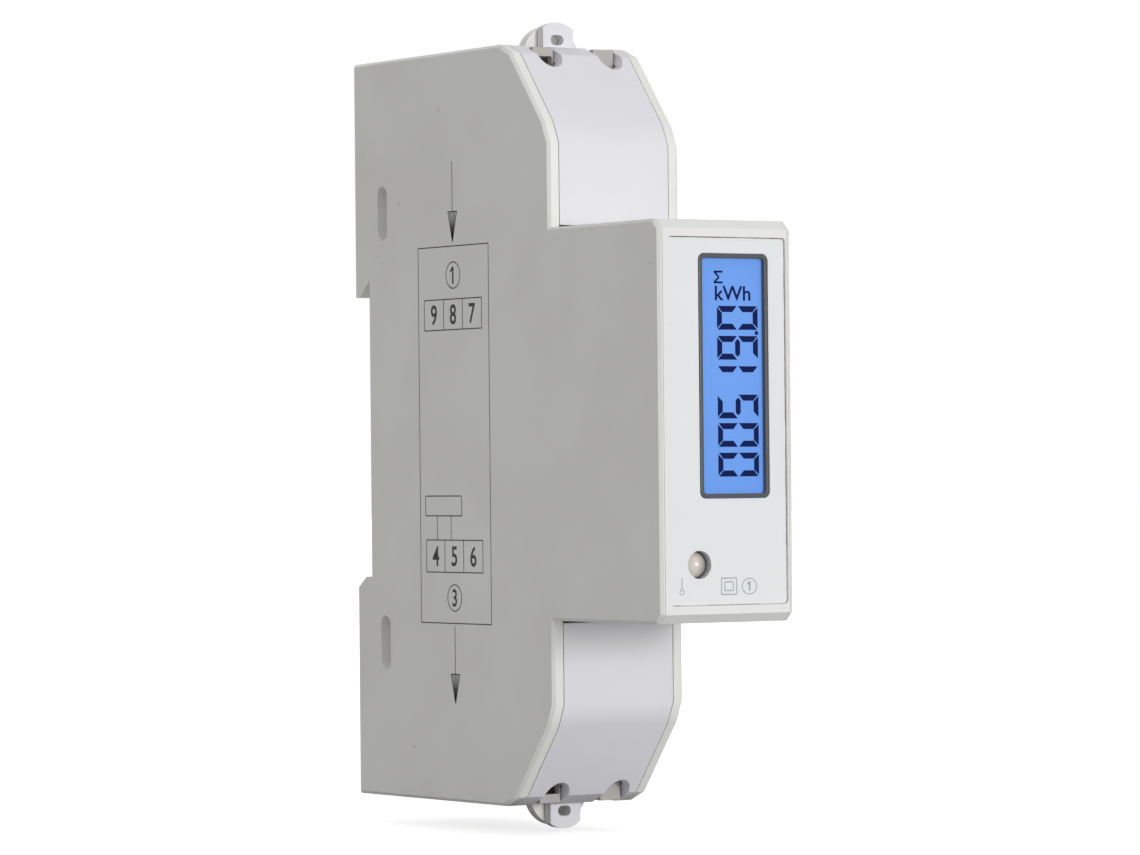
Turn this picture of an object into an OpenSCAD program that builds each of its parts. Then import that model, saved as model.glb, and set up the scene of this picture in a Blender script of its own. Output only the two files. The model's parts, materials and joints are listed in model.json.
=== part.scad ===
// Single-phase energy meter, one module wide, for a 35 mm top-hat rail.
// X runs across the width, Y from the front (negative) back to the rail, and Z up.
// The origin is the middle of the rail seat.

/* [Case] */
// Width of the case along the rail
case_w = 18; // [17.6:0.1:20]
// Height of the case from end to end
case_h = 88.4; // [87.6:0.2:92]
// Distance from the rail seat to the front face
front_depth = 62.5; // [61.5:0.5:68]
// Distance from the rail seat to the shoulder beside the nose
shoulder_depth = 40.2; // [39.6:0.1:42]
// How far the case reaches behind the rail seat
rear_depth = 3.5; // [3.3:0.1:4.2]
// Height of the nose that shows through a panel cut-out
nose_h = 45; // [44:0.1:46]
// Thickness of the two side walls
side_wall = 1.4; // [1.2:0.05:1.6]
// Thickness of the walls between the side walls
inner_wall = 1.6; // [1.2:0.1:1.9]
// Bevel of the outer edge of the side walls
edge_bevel = 0.35; // [0.2:0.05:0.45]
// Depth of the bevel at the top and bottom of the nose
bevel_d = 1.1; // [0.5:0.1:1.5]
// Height of the bevel at the top and bottom of the nose
bevel_h = 1; // [0.5:0.1:1.3]
// Thickness of the side wall lip that frames the bezel
bezel_lip = 0.5; // [0.3:0.05:0.7]

/* [Shoulder profile] */
// Height of the upright face of a terminal cover
face_h = 9.7; // [9.3:0.1:10.2]
// Depth of the narrow facet above the upright face
facet_d = 1.2; // [0.8:0.1:1.5]
// Height of the narrow facet above the upright face
facet_h = 2.6; // [2.2:0.1:2.8]
// Depth of the long sloping face
slope_d = 6.8; // [6.4:0.1:7.2]
// Depth of the bevel at the end of the case
end_bevel_d = 2.7; // [2.2:0.1:3]
// Height of the bevel at the end of the case
end_bevel_h = 1.1; // [0.9:0.1:1.3]

/* [Rail seat] */
// Height of the rail
rail_h = 35; // [34.8:0.1:35.2]
// Thickness of the rail
rail_t = 1; // [0.9:0.05:1.2]
// Clearance above and below the rail
rail_gap = 0.4; // [0.2:0.05:0.6]
// How far the lip of the fixed hook reaches over the rail
hook_reach = 2; // [1.5:0.1:2.4]
// Opening of the undercut at the lip of the fixed hook
hook_mouth = 2.3; // [2:0.1:2.5]
// Height of the bevel on the lower step of the seat
step_bevel = 1.5; // [0.8:0.1:2]

/* [Covers] */
// Wall of the terminal covers
cover_t = 1.1; // [0.9:0.05:1.2]
// Gap between a cover and the pieces round it
cover_gap = 0.1; // [0.05:0.01:0.2]
// Gap between a cover and the nose
nose_gap = 0.3; // [0.2:0.05:0.4]
// Thickness of the sealing tab
tab_t = 1.2; // [1:0.1:1.4]
// Width of the sealing tab
tab_w = 4.4; // [4:0.1:4.8]
// Height of the sealing tab over the end of the case
tab_h = 3; // [2.6:0.1:3.4]
// Radius of the round end of the sealing tab
tab_r = 3.4; // [2.8:0.1:4]
// Width of the hole for the seal wire
seal_w = 1.8; // [1.4:0.1:2.2]
// Height of the hole for the seal wire
seal_h = 1.2; // [1:0.1:1.4]
// Radius of a wire notch
notch_r = 1.65; // [1.4:0.05:1.8]
// Place of the left wire notch
notch_left = 3.6; // [3.5:0.1:4]
// Place of the right wire notch
notch_right = 4.8; // [4.2:0.1:5]
// Depth of a wire notch below the end of the case
notch_h = 2.7; // [2.4:0.1:3]
// Thickness of the legs of a cover
leg_t = 1; // [0.8:0.05:1.1]
// Height of the legs of a cover
leg_h = 6; // [5:0.1:6.2]
// Thickness of the sealing lug on the case
lug_t = 1.35; // [1.1:0.05:1.6]
// Radius of the sealing lug on the case
lug_r = 3.9; // [3.6:0.1:4.2]

/* [Front] */
// Thickness of the bezel
bezel_t = 1.6; // [1.4:0.1:1.9]
// Depth of the recess for the front panel
panel_recess = 0.8; // [0.8:0.05:1]
// Thickness of the front panel
panel_t = 0.5; // [0.3:0.05:0.5]
// Width of the front panel
panel_w = 15.9; // [15.4:0.1:16.1]
// Height of the front panel
panel_h = 41; // [40:0.2:41.4]
// Sideways place of the middle of the front panel
panel_x = 0.25; // [0:0.05:0.3]
// Width of the display window
window_w = 9.4; // [8.9:0.1:9.6]
// Height of the display window
window_h = 27.3; // [26:0.1:28]
// Sideways place of the middle of the display window
window_x = 1.25; // [1:0.05:1.5]
// Distance from the top of the panel to the display window
window_drop = 1.8; // [1.6:0.1:2.4]
// Border of the display frame
frame_b = 0.5; // [0.4:0.05:0.8]
// Diameter of the pulse lamp
lamp_d = 3; // [2.6:0.1:3.2]
// Sideways place of the pulse lamp
lamp_x = -3.65; // [-3.8:0.05:-3.2]
// Height of the pulse lamp
lamp_z = -16; // [-16.6:0.1:-15.6]

/* [Main terminals] */
// Diameter of the main terminal screws
main_d = 5; // [4.5:0.1:5.2]
// Diameter of the heads of the main terminal screws
main_head_d = 6.6; // [6.2:0.1:6.8]
// Width of a main terminal cage
main_cage_w = 10; // [9:0.1:10.4]
// Length of a main terminal cage along the cable
main_cage_l = 8.8; // [8:0.1:9]
// Space for the cable in an open main cage
main_space = 5.6; // [5:0.1:6]
// Travel of a main cage from open to clamped
main_travel = 5; // [4:0.1:5.2]
// Diameter of the cable entry
cable_d = 6.6; // [6:0.1:7]
// Thickness of the current bars
bar_t = 1.6; // [1.4:0.1:2]
// Width of the current bars
bar_w = 6.2; // [5:0.1:6.6]

/* [Small terminals] */
// Spacing of the small terminals
small_pitch = 4.15; // [4:0.05:4.3]
// Diameter of the small screws
small_d = 2; // [1.8:0.05:2.1]
// Diameter of the heads of the small screws
small_head_d = 2.8; // [2.6:0.05:3]
// Width of a small cage
small_cage_w = 3.3; // [3:0.05:3.4]
// Length of a small cage along the wire
small_cage_l = 4.2; // [3.8:0.1:4.3]
// Space for the wire in an open small cage
small_space = 2.1; // [1.9:0.05:2.2]
// Travel of a small cage from open to clamped
small_travel = 1.8; // [1.4:0.1:1.9]

/* [Rail clip] */
// Width of the clip body
clip_w = 10; // [8:0.2:10.4]
// Travel of the clip
clip_travel = 4; // [3:0.2:4.2]
// How far the jaw of the clip reaches over the rail
jaw_reach = 1.5; // [1:0.1:1.8]
// Wire of the clip spring
spring_wire = 0.45; // [0.3:0.05:0.5]
// Outer diameter of the clip spring
spring_d = 2.2; // [1.8:0.1:2.3]
// Turns of the clip spring
spring_turns = 7; // [4:1:8]

/* [Electronics] */
// Thickness of the circuit boards
board_t = 1.6; // [1.2:0.1:1.6]
// Length of the current shunt
shunt_l = 16; // [12:0.5:18]
// Gap between the boards and the case
board_gap = 0.3; // [0.2:0.05:0.4]

/* [Hidden] */

fine = 48;
half_w = case_w / 2;
half_h = case_h / 2;
inner_x = half_w - side_wall;
nose_z = nose_h / 2;
front_y = -front_depth;
shoulder_y = -shoulder_depth;
rear_y = rear_depth;
eps = 0.01;

// Corners of the shoulder profile, as [y, z], from the nose to the end of the case
corner_d = [shoulder_y, nose_z + face_h];
corner_c = [shoulder_y + facet_d, corner_d[1] + facet_h];
corner_b = [corner_c[0] + slope_d, half_h - end_bevel_h];
corner_a = [corner_b[0] + end_bevel_d, half_h];

// Rail seat
seat_z = rail_h / 2 + rail_gap;
hook_z = seat_z - hook_reach;

// The end wall carries the sealing lug at its front
lug_front = corner_a[0] + 2.5;
tab_back = lug_front - 0.2;
tab_front = tab_back - tab_t;

// Inside of the nose and of the terminal rooms
nose_in_z = nose_z - inner_wall;
end_in_z = half_h - inner_wall;
bezel_back = front_y + 2.55;

// Main terminals: places along Y, from the rear of the cage to the screw head
main_z = nose_z + 5.8;
cage_t = 1.4;
plate_t = 2.4;
cage_back = -6;
bar_back = cage_back - cage_t - main_space;
bar_front = bar_back - bar_t;
plate_front = bar_front - 2.3 - plate_t;
seat_back = plate_front - main_travel - 0.2;
seat_t = 1.4;
head_t = 2.5;
head_back = seat_back - seat_t;
head_front = head_back - head_t;
tower_front = head_front - 0.2;
cable_y = bar_back + main_space / 2;
thread_gap = 0.06;

// Small terminals: places along Y, from the screw head to the rear of the cage
small_z = half_h - 8.6;
small_head_t = 1;
small_head_front = shoulder_y + 5.2;
small_seat_front = small_head_front + small_head_t;
small_seat_t = 0.8;
small_plate_t = 0.9;
small_wall = 0.45;
strip_t = 0.5;
strip_w = 2.1;
small_plate_front = small_seat_front + small_seat_t + small_travel + 0.2;
strip_front = small_plate_front + small_plate_t + 0.5;
small_wire_front = strip_front + strip_t;
small_back_in = small_wire_front + small_space;
small_back = small_back_in + 0.6;
pin_w = 0.6;
pin_x = [-small_pitch, -2.95, small_pitch];
link_z = nose_in_z - 4.2;
link_t = 1.2;

// Rail clip
channel_y = 0;
clip_front = channel_y + 0.2;
clip_back = rear_y - 0.5;
clip_wing_back = 1.6;
clip_bottom = -half_h + 0.7;
clip_top = -(seat_z + inner_wall + 0.3);
stop_z = clip_bottom + 4.2;
stop_t = 1.5;
leg_back = channel_y - inner_wall - 0.15;
spring_l = 10.2;
spring_bottom = stop_z + stop_t;
spring_top = spring_bottom + spring_l;
spring_y = clip_front + 1.05;

// Pins of the lid and the bosses that take them, as [y, z]
window_z = panel_h / 2 - window_drop - window_h / 2;
pin_spots = [[-4.6, 38.5], [-4.6, -38.5], [-5.5, 13], [-5.5, -13], [-42.5, 17.2], [-42.5, -17.2]];
board_spots = [pin_spots[4], pin_spots[5]];
pin_d = 1.9;
pin_gap = 0.05;
boss_d = 3.8;
pin_l = 4;

// Boards, the display and the parts behind it
board_right = inner_x - 0.8;
board_left = board_right - board_t;
board_front = -50;
board_rear = bar_front - 4.4;
panel_back = front_y + panel_recess;
panel_front = panel_back - panel_t;
glass_front = panel_back + 0.05;
glass_t = 1.4;
glass_edge = 0.4;
light_t = 2.7;
light_front = glass_front + glass_t;
display_back = front_y + 8.5;
shunt_z = shunt_l / 2;

function unit(v) = v / norm(v);

// A ring of points round one point of a path; tube() joins the rings into a closed skin
function ring(path, i, r, sides) =
    let (last = len(path) - 1, t = unit(path[min(i + 1, last)] - path[max(i - 1, 0)]),
         a = unit(cross(t, abs(t[2]) > 0.9 ? [1, 0, 0] : [0, 0, 1])), b = cross(t, a))
        [for (k = [0:sides - 1]) path[i] + r * (cos(360 * k / sides) * a + sin(360 * k / sides) * b)];

module tube(path, r, sides) {
    n = len(path);
    polyhedron(
        points = [for (i = [0:n - 1]) each ring(path, i, r, sides)],
        faces = concat(
            [[for (k = [0:sides - 1]) k]],
            [for (i = [0:n - 2], k = [0:sides - 1])
                [i * sides + k, (i + 1) * sides + k, (i + 1) * sides + (k + 1) % sides, i * sides + (k + 1) % sides]],
            [[for (k = [sides - 1:-1:0]) (n - 1) * sides + k]]));
}

// Extrudes a [y, z] shape along X, or an [x, z] shape along Y
module along_x(x0, x1) translate([x0, 0, 0]) rotate([90, 0, 90]) linear_extrude(x1 - x0) children();
module along_y(y0, y1) translate([0, y1, 0]) rotate([90, 0, 0]) linear_extrude(y1 - y0) children();
module block(a, b) translate(a) cube(b - a);
module at_end(s) mirror([0, 0, s < 0 ? 1 : 0]) children();

// A stadium, w wide and h high, its longer way along its longer side
module stadium(w, h) {
    r = min(w, h) / 2;
    for (s = [-1, 1]) translate([s * (w / 2 - r), s * (h / 2 - r)]) circle(r, $fn = fine);
    if (w > h) square([w - 2 * r, h], center = true);
    else square([w, max(h - 2 * r, eps)], center = true);
}

module rounded_rect(w, h, r) {
    square([w - 2 * r, h], center = true);
    square([w, h - 2 * r], center = true);
    for (i = [-1, 1], j = [-1, 1]) translate([i * (w / 2 - r), j * (h / 2 - r)]) circle(r, $fn = fine);
}

// Plate on -X with a convex [y, z] outline, its first n outer edges bevelled
module bevelled_plate(points, n) {
    difference() {
        along_x(-half_w, -inner_x) polygon(points);
        for (i = [0:n - 1]) let (p = points[i], d = points[(i + 1) % len(points)] - p)
            translate([-half_w, p[0], p[1]]) rotate([atan2(d[1], d[0]), 0, 0]) translate([0, norm(d) / 2, 0])
                rotate([0, 45, 0]) cube([edge_bevel * sqrt(2), norm(d) + 6, edge_bevel * sqrt(2)], center = true);
    }
}

// Side wall on -X, as one plate for the nose and one for the shoulders
module side_plate() {
    tail = shoulder_y + 5;
    difference() {
        union() {
            bevelled_plate([[tail, nose_z], [front_y + bevel_d, nose_z], [front_y, nose_z - bevel_h],
                [front_y, -nose_z + bevel_h], [front_y + bevel_d, -nose_z], [tail, -nose_z]], 5);
            bevelled_plate([[corner_d[0], corner_d[1]], [corner_d[0], -corner_d[1]], [corner_c[0], -corner_c[1]],
                [corner_b[0], -corner_b[1]], [corner_a[0], -half_h], [rear_y, -half_h], [rear_y, half_h],
                corner_a, corner_b, corner_c], 10);
        }
        along_x(-half_w - 1, -inner_x + 1) polygon([[rear_y + 1, -seat_z - step_bevel], [rear_y, -seat_z - step_bevel],
            [rail_t + 0.3, -seat_z], [0, -seat_z], [0, seat_z], [hook_mouth, hook_z], [rear_y + 1, hook_z]]);
        block([-half_w + bezel_lip, front_y - 1, -nose_z - 1], [-inner_x + 1, bezel_back + 0.05, nose_z + 1]);
        for (s = [-1, 1]) translate([0, -3.1, s * (nose_z + nose_gap + leg_h / 2)])
            along_x(-half_w - 1, -inner_x + 1) stadium(2.3, leg_h + 0.5);
    }
}

// Walls that run across the case, as a [y, z] section
module cross_walls() {
    translate([rear_y - inner_wall, seat_z]) square([inner_wall, half_h - seat_z]);
    polygon([[rear_y, hook_z], [rear_y, seat_z + inner_wall], [-inner_wall, seat_z + inner_wall],
        [-inner_wall, seat_z], [0, seat_z], [hook_mouth, hook_z]]);
    translate([-inner_wall, -seat_z]) square([inner_wall, 2 * seat_z]);
    translate([-inner_wall, seat_z]) square([inner_wall, nose_z - seat_z]);
    translate([lug_front, end_in_z]) square([rear_y - lug_front, inner_wall]);
    translate([lug_front, -half_h]) square([channel_y - lug_front, inner_wall]);
    translate([channel_y - inner_wall, -half_h]) square([inner_wall, half_h - seat_z]);
    translate([channel_y - inner_wall, -seat_z - inner_wall]) square([inner_wall - channel_y, inner_wall]);
    for (s = [-1, 1]) translate([bezel_back, s * (nose_z - inner_wall / 2) - inner_wall / 2])
        square([-inner_wall - bezel_back, inner_wall]);
}

module seal_hole() translate([0, half_h + seal_h / 2 + 0.35]) stadium(seal_w, seal_h);

// Sealing lug, main screw tower and cable guide of one end, on the tub
module end_fittings() {
    along_y(lug_front, lug_front + lug_t) difference() {
        union() {
            intersection() {
                translate([0, half_h - 1.2]) circle(lug_r, $fn = 96);
                translate([-lug_r, end_in_z]) square([2 * lug_r, lug_r + inner_wall]);
            }
        }
        seal_hole();
    }
    difference() {
        union() {
            block([-inner_x + leg_t + 0.35, tower_front, nose_z - eps],
                [inner_x - leg_t - 0.35, seat_back, main_z + 4.3]);
            block([-inner_x, tower_front, nose_z + nose_gap + leg_h + 0.3], [inner_x - leg_t - 0.35, seat_back, main_z + 4.3]);
        }
        translate([0, 0, main_z]) {
            along_y(tower_front - 1, head_back) circle(d = main_head_d + 0.3, $fn = fine);
            along_y(head_back - 1, seat_back + 1) circle(d = main_d + 0.3, $fn = fine);
        }
        for (x = pin_x) block([x - 0.5, tower_front - 1, 0], [x + 0.5, strip_front + 1, half_h]);
    }
    translate([0, cable_y, main_z + main_cage_l / 2 + 0.7])
        cylinder(d = cable_d + 2.4, h = half_h - inner_wall / 2 - main_z - main_cage_l / 2 - 0.7, $fn = fine);
}

// Guide on the -X side that holds the clip from behind
module clip_guide() block([-inner_x - eps, clip_wing_back + 0.15, -half_h + 1.2],
    [-clip_w / 2 - 0.4, rear_y, clip_top - clip_travel]);

module case_tub() {
    color("#c9c8c3") difference() {
        union() {
            side_plate();
            along_x(-inner_x, inner_x) cross_walls();
            for (s = [-1, 1]) at_end(s) end_fittings();
            for (p = pin_spots) along_x(-inner_x, board_left - 0.05) translate(p) circle(d = boss_d + 1.4, $fn = fine);
            for (p = pin_spots) along_x(-inner_x, inner_x - 0.1) translate(p) circle(d = boss_d, $fn = fine);
            // Fixed stop under the clip spring
            block([-spring_d / 2, channel_y - 0.2, stop_z], [spring_d / 2, clip_wing_back - 0.2, stop_z + stop_t]);
            clip_guide();
        }
        for (p = pin_spots) along_x(inner_x - pin_l - 0.4, inner_x + 1) translate(p)
            circle(d = pin_d + 2 * pin_gap, $fn = fine);
        for (s = [-1, 1]) at_end(s) {
            // Way for the cable, the current bar and the contact strips
            translate([0, cable_y, main_z]) cylinder(d = cable_d, h = half_h, $fn = fine);
            block([-bar_w / 2 - 0.2, bar_front - 0.2, nose_in_z - 1], [bar_w / 2 + 0.2, bar_back + 0.2, nose_z + 1]);
            for (x = pin_x) block([x - 0.5, strip_front - 0.2, nose_in_z - 1],
                [x + 0.5, strip_front + strip_t + 0.2, nose_z + 1]);
        }
    }
}

module case_lid() {
    color("#c4c3be") {
        mirror([1, 0, 0]) {
            side_plate();
            clip_guide();
        }
        for (p = pin_spots) along_x(inner_x - pin_l, inner_x + eps) translate(p) circle(d = pin_d, $fn = fine);
    }
}

// Front bezel: bevelled plate with a recess for the panel, and a skirt inside the nose
module front_bezel() {
    bw = half_w - bezel_lip - 0.05;
    color("#f0f0ee") difference() {
        union() {
            along_x(-bw, bw) polygon([[bezel_back, -nose_z], [front_y + bevel_d, -nose_z],
                [front_y, -nose_z + bevel_h], [front_y, nose_z - bevel_h], [front_y + bevel_d, nose_z], [bezel_back, nose_z]]);
            along_y(bezel_back - eps, bezel_back + 2.4) rounded_rect(2 * inner_x - 0.2, 2 * nose_in_z - 0.2, 0.6);
        }
        along_y(front_y + bezel_t, bezel_back + 3) rounded_rect(2 * inner_x - 2.2, 2 * nose_in_z - 2.2, 0.4);
        translate([panel_x, 0, 0]) along_y(front_y - 1, panel_back) rounded_rect(panel_w + 0.1, panel_h + 0.1, 0.5);
        translate([window_x, 0, window_z]) along_y(front_y, bezel_back)
            square([window_w + 2 * glass_edge + 0.2, window_h + 2 * glass_edge + 0.2], center = true);
        translate([lamp_x, 0, lamp_z]) along_y(front_y, bezel_back) circle(d = lamp_d + 0.2, $fn = fine);
    }
}

module front_panel() {
    color("#e8ebed") along_y(panel_front, panel_back) difference() {
        translate([panel_x, 0]) rounded_rect(panel_w, panel_h, 0.45);
        translate([window_x, window_z]) rounded_rect(window_w + 0.1, window_h + 0.1, 0.8);
        translate([lamp_x, lamp_z]) circle(d = lamp_d + 0.15, $fn = fine);
    }
}

module display_frame() {
    color("#555558") translate([window_x, 0, window_z]) along_y(panel_front - 0.1, glass_front) difference() {
        rounded_rect(window_w, window_h, 0.75);
        rounded_rect(window_w - 2 * frame_b, window_h - 2 * frame_b, 0.4);
    }
}

module lcd_glass() {
    color("#74a1f0") translate([window_x, 0, window_z]) along_y(glass_front, glass_front + glass_t)
        square([window_w + 2 * glass_edge, window_h + 2 * glass_edge], center = true);
}

module lcd_backlight() {
    color("#dfe7ff") translate([window_x, 0, window_z]) {
        along_y(light_front, light_front + light_t)
            square([window_w + 2 * glass_edge, window_h + 2 * glass_edge], center = true);
        for (z = [-1, 1] * window_h / 3) translate([0, 0, z])
            along_y(light_front + light_t - eps, display_back) square([1.6, 3], center = true);
    }
}

module lcd_pins() {
    color("#c8c8cc") for (i = [-6:6])
        translate([window_x - window_w / 2 - glass_edge - 0.2, 0, window_z + 1.9 * i])
            along_y(front_y + bezel_t + 0.1, display_back + board_t + 0.6) square(0.4, center = true);
}

module pulse_lamp() {
    color("#e9e6e0") translate([lamp_x, 0, lamp_z]) {
        along_y(front_y + lamp_d / 2 + 0.3, front_y + 4.8) circle(d = lamp_d, $fn = fine);
        translate([0, front_y + lamp_d / 2 + 0.3, 0]) sphere(d = lamp_d, $fn = fine);
        along_y(front_y + 4.8 - eps, front_y + 5.6) circle(d = lamp_d + 0.6, $fn = fine);
        for (x = [-0.6, 0.6]) translate([x, 0, 0])
            along_y(front_y + 5.5, display_back + board_t + 0.6) square(0.45, center = true);
    }
}

module display_board() {
    color("#2f6b4a") along_y(display_back, display_back + board_t) difference() {
        square([2 * inner_x - 1.6, 2 * nose_in_z - 1.2], center = true);
        for (i = [-6:6]) translate([window_x - window_w / 2 - glass_edge - 0.2, window_z + 1.9 * i]) square(0.6, center = true);
        for (x = [-0.6, 0.6]) translate([lamp_x + x, lamp_z]) square(0.6, center = true);
    }
}

module main_board() {
    color("#2f6b4a") along_x(board_left, board_right) difference() {
        translate([board_front, -nose_in_z + board_gap]) square([board_rear - board_front, 2 * (nose_in_z - board_gap)]);
        for (p = board_spots) translate(p) circle(d = boss_d + 0.3, $fn = fine);
    }
}

module board_header() {
    color("#26262a") block([board_left - 2.6, display_back + board_t + 0.02, -8], [board_left - 0.02, board_front + 2, 8]);
    color("#c9a648") for (z = [-3:3]) block([board_left - 1.6, board_front + 1, 2 * z - 0.3], [board_left - 1, board_front + 2.6, 2 * z + 0.3]);
}

// A chip lying on the main board, its legs along Z
module chip(y, z, l, w, t, legs) {
    face = board_left - 0.02;
    block([face - t - 0.1, y - l / 2, z - w / 2], [face - 0.1, y + l / 2, z + w / 2]);
    for (i = [0:legs - 1], s = [-1, 1]) let (ly = y - l / 2 + (i + 0.5) * l / legs) {
        block([face - t / 2, ly - 0.2, z + s * w / 2 - 0.7], [face, ly + 0.2, z + s * w / 2 + 0.7]);
    }
}

module metering_chip() color("#2b2b2e") chip(-35.6, 2.4, 7, 4.4, 1.7, 8);
module controller_chip() color("#2b2b2e") chip(-43.4, -6.6, 7, 7, 1.4, 8);
module optocouplers() color("#dcdad2") for (z = [-11.4, 11.4]) chip(-24, z, 5, 4.4, 3.2, 2);

module quartz_crystal() {
    color("#cfd0d2") translate([board_left - 3.6, -36.5, -13]) along_x(0, 3.58) stadium(4.2, 9);
}

module dropper_capacitor() {
    color("#c9a227") {
        translate([0, -27.5, -0.5]) along_x(-5.4, board_left - 0.02) rounded_rect(7.6, 15, 0.6);
    }
}

module filter_capacitor() {
    color("#2a3c66") {
        along_x(-5.2, board_left - 0.4) translate([-43.6, 8]) circle(d = 5.6, $fn = fine);
        along_x(board_left - 0.4 - eps, board_left - 0.02) translate([-43.6, 8]) circle(d = 6, $fn = fine);
    }
}

module surge_varistor() {
    color("#2d63b5") {
        translate([0.2, -34, 12.8]) cylinder(d = 8, h = 3.4, center = true, $fn = fine);
        for (y = [-2, 2]) block([2, -34 + y - 0.3, 12.5], [board_left - 0.02, -34 + y + 0.3, 13.1]);
    }
}

module current_shunt() {
    color("#a88b66") block([-bar_w / 2, bar_front, -shunt_z], [bar_w / 2, bar_back, shunt_z]);
}

// Two thin leads from the ends of the shunt to the main board
module sense_leads() {
    color("#b53a35") for (s = [-1, 1]) tube([
        [0.8, bar_front - 0.5, s * (shunt_z - 1)], [0.8, bar_front - 1.4, s * (shunt_z - 1)],
        [1.6, bar_front - 2.2, s * (shunt_z - 1.6)], [3, bar_front - 2.7, s * (shunt_z - 2.6)],
        [board_left - 0.9, bar_front - 3.6, s * (shunt_z - 3)], [board_left - 0.6, board_rear - 1.2, s * (shunt_z - 3)]], 0.5, 8);
}

module rail_clip() {
    color("#bfbeb8") difference() {
        union() {
            block([-inner_x + 0.4, clip_front, clip_bottom + 1], [inner_x - 0.4, clip_wing_back, clip_top - clip_travel + 0.3]);
            block([-clip_w / 2, clip_front, clip_bottom], [clip_w / 2, clip_back, clip_top]);
            along_x(-clip_w / 2, clip_w / 2) polygon([[rail_t + 0.15, clip_top - 1], [rail_t + 0.15, -rail_h / 2 + jaw_reach],
                [rail_t + 0.9, -rail_h / 2 + jaw_reach], [clip_back, clip_top + 1.2], [clip_back, clip_top - 1]]);
        }
        // Window for the spring and the fixed stop, and the slot for a screwdriver
        block([-spring_d / 2 - 0.3, clip_front - 1, stop_z - 0.2], [spring_d / 2 + 0.3, clip_back - 0.6, spring_top]);
        block([-2.6, clip_back - 1, clip_bottom + 0.8], [2.6, clip_back + 1, clip_bottom + 2.4]);
    }
}

module clip_spring() {
    per_turn = 12;
    r = (spring_d - spring_wire) / 2;
    rise = spring_l - spring_wire - 0.1;
    color("#b9bcc0") tube([for (i = [0:spring_turns * per_turn]) let (a = 360 * i / per_turn)
        [r * cos(a), spring_y + r * sin(a), spring_bottom + spring_wire / 2 + 0.05 + rise * i / (spring_turns * per_turn)]],
        spring_wire / 2, 6);
}

// Terminal cover of one end: a bent shell with a sealing tab, two wire notches and two legs
module cover() {
    inside = corner_d[0] + cover_t;
    k = unit(corner_b - corner_c);
    slope_in = cover_t * [k[1], -k[0]];
    e = unit(corner_a - corner_b);
    end_in = cover_t * [e[1], -e[0]];
    cover_w = inner_x - cover_gap;
    difference() {
        union() {
            along_x(-cover_w, cover_w) polygon([
                [shoulder_y, nose_z + nose_gap], corner_d, corner_c, corner_b, corner_a, [tab_back, half_h],
                [tab_back, half_h - cover_t], [corner_a[0] + end_in[0], half_h - cover_t],
                [corner_b[0] + (slope_in + end_in)[0] / 2, corner_b[1] + (slope_in + end_in)[1] / 2 - 0.15],
                [corner_c[0] + slope_in[0], corner_c[1] + slope_in[1]], [inside, corner_d[1] - 0.3],
                [inside, nose_z + nose_gap]]);
            along_y(tab_front, tab_back) intersection() {
                translate([0, half_h + tab_h - tab_r]) circle(tab_r, $fn = 96);
                translate([-tab_w / 2, half_h - cover_t]) square([tab_w, tab_h + cover_t]);
            }
            for (s = [-1, 1]) block(
                [s > 0 ? cover_w - leg_t : -cover_w, shoulder_y + cover_t / 2, nose_z + nose_gap],
                [s > 0 ? cover_w : -cover_w + leg_t, leg_back, nose_z + nose_gap + leg_h]);
        }
        along_y(tab_front - 0.3, tab_back + 1) seal_hole();
        for (x = [-notch_left, notch_right]) translate([x, 0, half_h - notch_h + notch_r])
            along_y(shoulder_y, tab_back + 1) {
                circle(notch_r, $fn = fine);
                translate([-notch_r, 0]) square([2 * notch_r, notch_h + 1]);
            }
    }
}

// Moving cage: a folded metal box, open along the cable, with a threaded front plate
module cage(w, l, y0, y1, front_t, back_t, wall, hole) {
    difference() {
        block([-w / 2, y0, -l / 2], [w / 2, y1, l / 2]);
        block([-w / 2 + wall, y0 + front_t, -l], [w / 2 - wall, y1 - back_t, l]);
        along_y(y0 - 1, y0 + front_t + 1) circle(d = hole, $fn = fine);
    }
}

// Screw along Y, its head at y0, with a cross recess in the head
module cross_screw(y0, head_l, y2, d, head) {
    difference() {
        union() {
            along_y(y0, y0 + head_l) circle(d = head, $fn = fine);
            along_y(y0 + head_l - eps, y2) circle(d = d, $fn = fine);
        }
        for (a = [0, 90]) rotate([0, a, 0])
            along_y(y0 - 1, y0 + head_l * 0.55) square([head * 0.62, head * 0.14], center = true);
    }
}

module main_cage() color("#b8b4a6") translate([0, 0, main_z])
    cage(main_cage_w, main_cage_l, plate_front, cage_back, plate_t, cage_t, 1, main_d + 2 * thread_gap);
module main_screw() color("#c3c5c8") translate([0, 0, main_z])
    cross_screw(head_front, head_t, bar_front - 0.1, main_d, main_head_d);
module current_bar() color("#b5733c")
    block([-bar_w / 2, bar_front, shunt_z], [bar_w / 2, bar_back, main_z + main_cage_l / 2 - 0.3]);

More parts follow.
